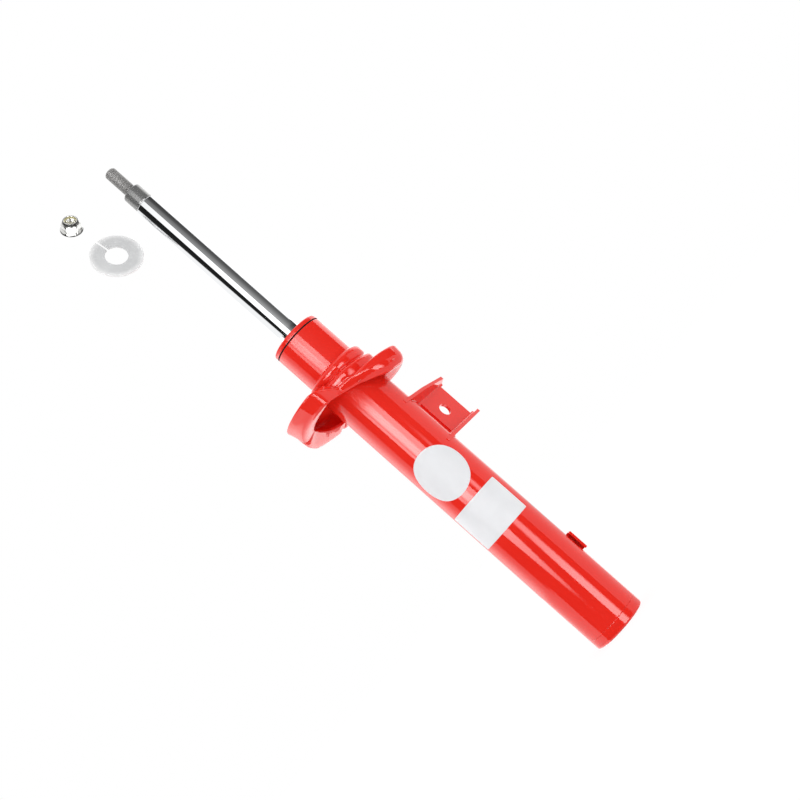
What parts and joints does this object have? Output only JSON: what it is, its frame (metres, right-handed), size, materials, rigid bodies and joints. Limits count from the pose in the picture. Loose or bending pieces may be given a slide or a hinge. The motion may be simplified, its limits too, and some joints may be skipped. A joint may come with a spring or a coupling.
{
  "type": "suspension strut assembly",
  "caption": "Suspension strut with a chromed damper rod, a red tube with an offset spring seat, a link bracket and a locating tab, and a loose top nut and split spacer ring beside it.",
  "frame": {"origin": "centre of the flat face of the tube's bottom cap", "axes": "+Z along the strut's axis, towards the rod's threaded end; +X on the side of the locating tab and of the seat's small lobe, with the link bracket turned 50 degrees from +X towards +Y"},
  "size_m": [0.1355, 0.1142, 0.6091],
  "materials": {
    "red_paint": "gloss",
    "white_sticker": "satin",
    "silver_label": "satin",
    "black_rubber": "matte",
    "spring_steel": "satin",
    "cast_aluminium": "satin",
    "sintered_iron": "matte",
    "bronze_bush": "satin",
    "filled_ptfe": "matte",
    "plain_steel": "satin",
    "hard_chrome": "polished",
    "zinc_plate": "bright plated",
    "nylon": "satin",
    "frosted_plastic": "frosted"
  },
  "bodies": {
    "root": {"base_cap": "red_paint", "outer_tube": "red_paint", "spring_seat": "red_paint", "link_bracket": "red_paint", "locating_tab": "red_paint", "round_sticker": "white_sticker", "label_plate": "silver_label", "gland_ring": "black_rubber", "closing_cap": "red_paint", "dust_wiper": "black_rubber", "rod_seal": "black_rubber", "garter_spring": "spring_steel", "rod_guide": "cast_aluminium", "guide_bush": "bronze_bush", "pressure_tube": "plain_steel", "base_valve_body": "cast_aluminium", "base_valve_bolt": "plain_steel", "base_valve_nut": "plain_steel", "compression_shims": "plain_steel", "intake_spring": "spring_steel", "flange_nut": "zinc_plate", "nut_insert": "nylon", "split_ring": "frosted_plastic"},
    "sliding_band": {"piston_band": "filled_ptfe"},
    "rod": {"piston_rod": "hard_chrome", "rebound_stop": "plain_steel", "rebound_buffer": "black_rubber", "check_retainer": "plain_steel", "check_spring": "spring_steel", "piston": "sintered_iron", "rebound_shims": "plain_steel", "clamp_washer": "plain_steel", "piston_nut": "plain_steel"},
    "check_valve": {"check_plate": "plain_steel"},
    "intake_valve": {"intake_plate": "plain_steel"}
  },
  "joints": [
    {"name": "rod_slide", "type": "slide", "parent": "root", "child": "sliding_band", "axis": [0, 0, 1], "range_m": [-0.165, 0], "stiffness_N_per_m": 240, "springref_m": 0.5},
    {"name": "rod_spin", "type": "hinge", "parent": "sliding_band", "child": "rod", "pos_m": [0, 0, 0.253], "axis": [0, 0, 1], "continuous": true},
    {"name": "check_valve_lift", "type": "slide", "parent": "rod", "child": "check_valve", "axis": [0, 0, 1], "range_m": [0, 0.001], "stiffness_N_per_m": 400, "springref_m": -0.0005, "deforming": ["check_spring"]},
    {"name": "intake_valve_lift", "type": "slide", "parent": "root", "child": "intake_valve", "axis": [0, 0, 1], "range_m": [0, 0.0012], "stiffness_N_per_m": 400, "springref_m": -0.0005, "deforming": ["intake_spring"]}
  ]
}
